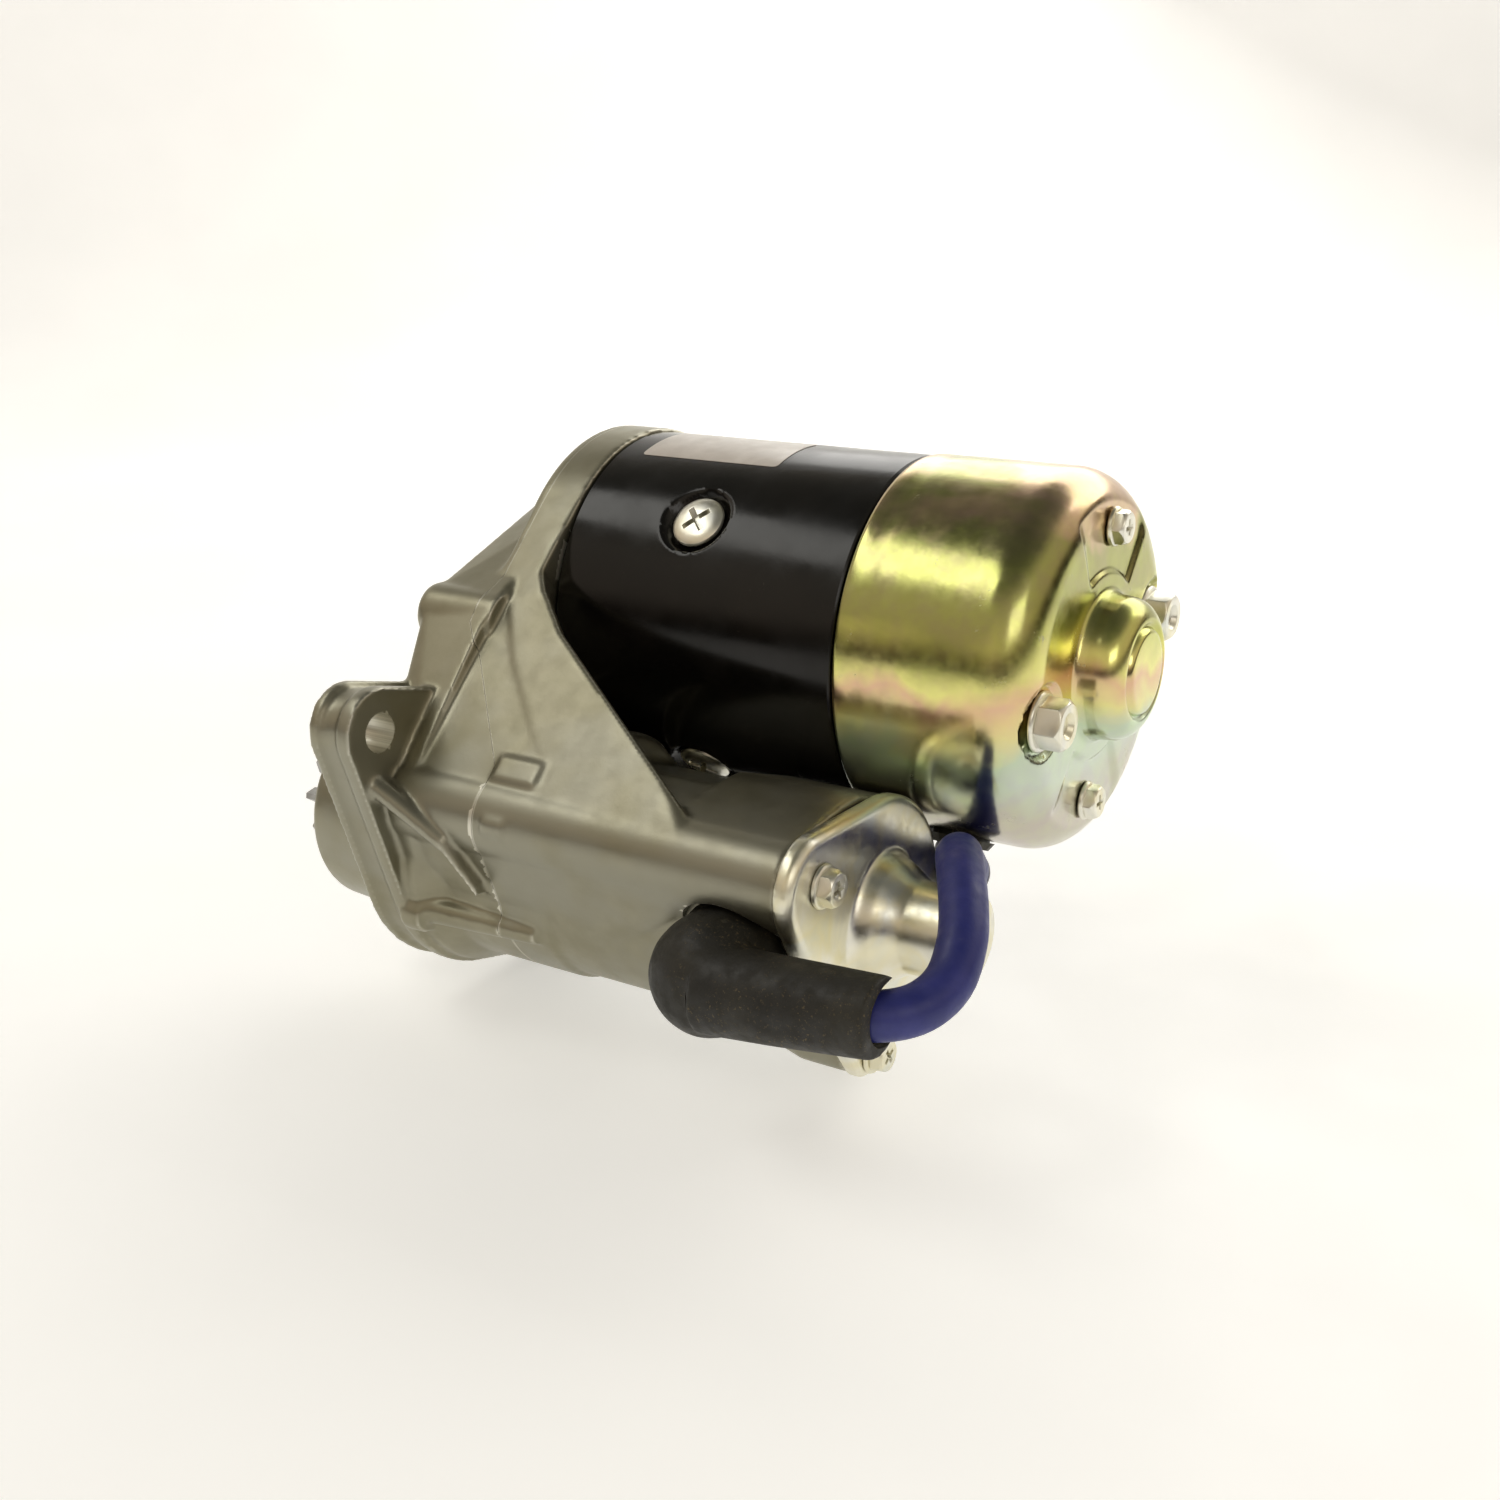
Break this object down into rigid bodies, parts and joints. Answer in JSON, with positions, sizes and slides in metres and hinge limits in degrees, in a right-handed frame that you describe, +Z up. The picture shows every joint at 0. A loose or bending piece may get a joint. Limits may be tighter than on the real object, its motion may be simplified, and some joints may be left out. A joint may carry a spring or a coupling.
{
  "type": "starter motor",
  "caption": "Offset gear-reduction starter motor: cast housings, black yoke, plated end cover, solenoid beside the motor, lead with rubber boot and sliding pinion.",
  "frame": {"origin": "on the pinion axis, in the plane of the mounting flange's front face", "axes": "+X along the shafts from the pinion to the commutator end; +Z up as it stood when pictured; the motor's axis is 72 mm away from the pinion axis at 41.3 degrees above +Y"},
  "size_m": [0.1958, 0.1506, 0.1345],
  "materials": {
    "cast_aluminium": "as cast, satin",
    "black_paint": "gloss",
    "yellow_zinc": "polished zinc plate, yellow passivated",
    "bright_zinc": "bright zinc plate",
    "steel": "machined",
    "copper": "satin copper",
    "carbon": "sintered carbon",
    "black_rubber": "matte, dusty",
    "blue_cable": "satin insulation"
  },
  "bodies": {
    "frame": {"drive_housing": "cast_aluminium", "switch_housing": "cast_aluminium", "yoke": "black_paint", "end_cover": "yellow_zinc", "solenoid_cover": "bright_zinc", "through_bolt_1": "bright_zinc", "through_bolt_2": "bright_zinc", "brush_holder_screw_1": "bright_zinc", "brush_holder_screw_2": "bright_zinc", "cover_screw_1": "bright_zinc", "cover_screw_2": "bright_zinc", "cover_screw_3": "bright_zinc", "housing_bolt_1": "bright_zinc", "housing_bolt_2": "bright_zinc", "motor_stud": "bright_zinc", "motor_nut": "bright_zinc", "battery_stud": "bright_zinc", "battery_nut": "bright_zinc", "switch_terminal": "bright_zinc", "pole_screw_1": "bright_zinc", "pole_screw_2": "bright_zinc", "pole_screw_3": "bright_zinc", "pole_screw_4": "bright_zinc", "brush_holder": "steel", "bearing_front": "steel", "bearing_rear": "steel", "idler_pin": "steel", "clutch_bearing": "steel", "plunger_spring": "steel", "pole_shoe_1": "steel", "pole_shoe_2": "steel", "pole_shoe_3": "steel", "pole_shoe_4": "steel", "solenoid_coil": "copper", "motor_contact": "copper", "battery_contact": "copper", "field_coil_1": "copper", "field_coil_2": "copper", "field_coil_3": "copper", "field_coil_4": "copper", "brush_1": "carbon", "brush_2": "carbon", "brush_3": "carbon", "brush_4": "carbon", "terminal_boot": "black_rubber", "lead_grommet": "black_rubber", "motor_lead": "blue_cable"},
    "armature": {"armature_shaft": "steel", "armature_core": "steel", "winding_front": "copper", "winding_rear": "copper", "commutator": "copper"},
    "idler": {"idler_gear": "steel"},
    "clutch_drive": {"clutch_outer": "steel"},
    "clutch_driven": {"clutch_inner": "steel"},
    "pinion": {"pinion_shaft": "steel", "pinion_gear": "steel", "steel_ball": "steel"},
    "plunger": {"plunger": "steel", "contact_plate": "copper"}
  },
  "joints": [
    {"name": "armature_spin", "type": "hinge", "parent": "frame", "child": "armature", "pos_m": [0.06, 0.05409, 0.04752], "axis": [1, 0, 0], "continuous": true},
    {"name": "idler_spin", "type": "hinge", "parent": "frame", "child": "idler", "pos_m": [0.008, 0.03437, 0.03019], "axis": [1, 0, 0], "continuous": true},
    {"name": "clutch_spin", "type": "hinge", "parent": "frame", "child": "clutch_drive", "pos_m": [0.008, 0, 0], "axis": [1, 0, 0], "continuous": true},
    {"name": "overrun", "type": "hinge", "parent": "clutch_drive", "child": "clutch_driven", "pos_m": [0.02, 0, 0], "axis": [1, 0, 0], "continuous": true},
    {"name": "plunger_slide", "type": "slide", "parent": "frame", "child": "plunger", "axis": [-1, 0, 0], "range_m": [0, 0.015], "stiffness_N_per_m": 900, "springref_m": -0.012, "deforming": ["plunger_spring"]},
    {"name": "pinion_slide", "type": "slide", "parent": "clutch_driven", "child": "pinion", "axis": [-1, 0, 0], "range_m": [0, 0.015]}
  ],
  "couplings": [
    {"joint": "idler_spin", "follows": "armature_spin", "ratio": -0.4},
    {"joint": "clutch_spin", "follows": "armature_spin", "ratio": 0.27778},
    {"joint": "pinion_slide", "follows": "plunger_slide", "ratio": 1}
  ]
}
